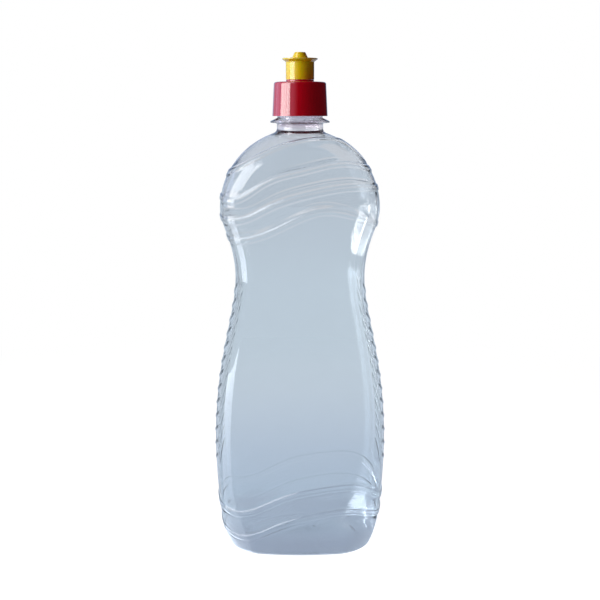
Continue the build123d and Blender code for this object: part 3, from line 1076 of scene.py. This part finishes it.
def floor():
    """A wide floor that keeps the bottle's shadow near it, and is as white as the room further off."""
    mesh = bpy.data.meshes.new("floor")
    corners = [(FLOOR_REACH * x, FLOOR_REACH * y, 0) for x, y in ((-1, -1), (1, -1), (1, 1), (-1, 1))]
    mesh.from_pydata(corners, [], [(0, 1, 2, 3)])
    piece = bpy.data.objects.new("floor", mesh)
    bpy.context.collection.objects.link(piece)
    piece.location.z = -FLOOR_DROP
    material, tree, out = new_material("floor")
    place = add_node(tree, "ShaderNodeTexCoord").outputs["Object"]
    distance = vector_node(tree, "LENGTH", {0: place}, "Value")
    light = tree.nodes.new("ShaderNodeLightPath")

    # What the camera, gloss and glass see: lit and shadowed near the bottle, and plain further off
    through = light.outputs["Is Transmission Ray"]
    tone = mix_colour(tree, through, MIRRORED_FLOOR, FLOOR_THROUGH_GLASS)
    tone = mix_colour(tree, shiny_ray(tree, light), WHITE, tone)
    lit_tone = vector_node(tree, "SCALE", {0: tone, "Scale": FLOOR_LIT})
    lit = add_node(tree, "ShaderNodeBsdfDiffuse", {"Color": lit_tone}).outputs["BSDF"]
    near = add_shader(tree, lit, light_shader(tree, "ShaderNodeEmission", tone, FLOOR_GLOW))
    plain = light_shader(tree, "ShaderNodeEmission", tone, 1.0)
    shown = mix_shader(tree, map_range(tree, distance, *SHADOW_END), near, plain)

    # The windows' sheen, which only mirrored rays see
    x, y, _ = add_node(tree, "ShaderNodeSeparateXYZ", {0: place}).outputs
    azimuth = azimuth_of(tree, x, y)
    growth = map_range(tree, distance, *SHEEN_GROWTH[0], *SHEEN_GROWTH[1], kind="LINEAR")
    extent = math_node(tree, "MULTIPLY", growth, map_range(tree, distance, *SHEEN_END, kind="LINEAR"))
    extent = math_node(tree, "MULTIPLY", extent, was_mirrored(tree, light))
    (low, high), edge, strength = SHEEN
    band = math_node(tree, "MULTIPLY", angle_band(tree, azimuth, low, high, edge), strength)
    (low, high), edge, strength = SHEEN_INSIDE
    inside = math_node(tree, "MULTIPLY", angle_band(tree, azimuth, low, high, edge), was_inside(tree, light))
    sheen = math_node(tree, "MULTIPLY", extent, math_node(tree, "MULTIPLY_ADD", inside, strength, band))
    shown = add_shader(tree, shown, light_shader(tree, "ShaderNodeEmission", SHEEN_COLOUR, sheen))

    bounce = add_node(tree, "ShaderNodeBsdfDiffuse", {"Color": FLOOR_BOUNCE}).outputs["BSDF"]
    seen = math_node(tree, "MAXIMUM", light.outputs["Is Camera Ray"], shiny_ray(tree, light))
    tree.links.new(mix_shader(tree, seen, bounce, shown), out.inputs["Surface"])
    mesh.materials.append(material)


def room():
    """White to the camera and pale blue grey through glass. Gloss mirrors it darker, with its windows."""
    world = bpy.data.worlds.new("room")
    bpy.context.scene.world = world
    world.use_nodes = True
    tree = world.node_tree
    tree.nodes.clear()
    out = tree.nodes.new("ShaderNodeOutputWorld")
    light = tree.nodes.new("ShaderNodeLightPath")
    through = light.outputs["Is Transmission Ray"]
    way = add_node(tree, "ShaderNodeTexCoord").outputs["Generated"]
    side = vector_node(tree, "DOT_PRODUCT", {0: way, 1: UNLIT_WAY}, "Value")
    shade = map_range(tree, side, *UNLIT_SPAN, *UNLIT_LIGHT)
    mirrored = light_shader(tree, "ShaderNodeBackground", MIRRORED_ROOM, shade)
    fill = light_shader(tree, "ShaderNodeBackground", FILL_COLOUR, FILL_LIGHT)
    unseen = mix_shader(tree, light.outputs["Is Glossy Ray"], fill, mirrored)
    tone = mix_colour(tree, through, WHITE, ROOM_THROUGH_GLASS)
    seen = math_node(tree, "MAXIMUM", light.outputs["Is Camera Ray"], through)
    shown = mix_shader(tree, seen, unseen, light_shader(tree, "ShaderNodeBackground", tone, 1.0))

    # Windows, which only mirrored rays see
    x, y, z = add_node(tree, "ShaderNodeSeparateXYZ", {0: way}).outputs
    azimuth = azimuth_of(tree, x, y)
    elevation = math_node(tree, "ARCSINE", z)
    once = was_mirrored(tree, light)
    deep = was_inside(tree, light)
    blind = slats(tree, azimuth, elevation)
    for (az_low, az_high, el_low, el_high), edge, colour, strength, inside in WINDOWS:
        across = angle_band(tree, azimuth, az_low, az_high, edge)
        upright = angle_band(tree, elevation, el_low, el_high, edge)
        mask = math_node(tree, "MULTIPLY", across, upright)
        mask = math_node(tree, "MULTIPLY", mask, deep if inside else blind)
        bright = math_node(tree, "MULTIPLY", math_node(tree, "MULTIPLY", mask, once), strength)
        shown = add_shader(tree, shown, light_shader(tree, "ShaderNodeBackground", (*colour, 1), bright))
    tree.links.new(shown, out.inputs["Surface"])


def lamp(name, azimuth, span, low, high, distance, radiance):
    """A soft upright lamp at an azimuth, over a span of azimuth and between a low and a high elevation."""
    middle_z = 0.2
    width = 2 * distance * math.tan(math.radians(span / 2))
    low_z = middle_z + distance * math.tan(math.radians(low))
    high_z = middle_z + distance * math.tan(math.radians(high))
    data = bpy.data.lights.new(name, "AREA")
    data.shape = "RECTANGLE"
    data.size = width
    data.size_y = high_z - low_z
    data.energy = radiance * math.pi * width * (high_z - low_z)
    piece = bpy.data.objects.new(name, data)
    bpy.context.collection.objects.link(piece)
    turn = math.radians(azimuth)
    way = Vector((-math.sin(turn), -math.cos(turn), 0))
    piece.location = way * distance + Vector((0, 0, (low_z + high_z) / 2))
    piece.rotation_euler = way.to_track_quat("Z", "Y").to_euler()
    piece.visible_glossy = False
    piece.visible_transmission = False


floor()
room()
lamp("window", azimuth=69, span=48, low=-2, high=50, distance=1.5, radiance=5.5)


# Camera, at the photograph's height and tilt
CAMERA_DISTANCE = 0.627
CAMERA_Z = 0.2435
CAMERA_DOWN = math.radians(9.3)
SENSOR_WIDTH = 36
FOCAL_PIXELS = 1112
FRAME_PIXELS = 600

camera_data = bpy.data.cameras.new("camera")
camera_data.sensor_width = SENSOR_WIDTH
camera_data.lens = SENSOR_WIDTH * FOCAL_PIXELS / FRAME_PIXELS
camera = bpy.data.objects.new("camera", camera_data)
camera.location = (0, -CAMERA_DISTANCE, CAMERA_Z)
camera.rotation_euler = (math.pi / 2 - CAMERA_DOWN, 0, 0)
bpy.context.collection.objects.link(camera)
bpy.context.scene.camera = camera
bpy.context.scene.view_settings.view_transform = "Standard"
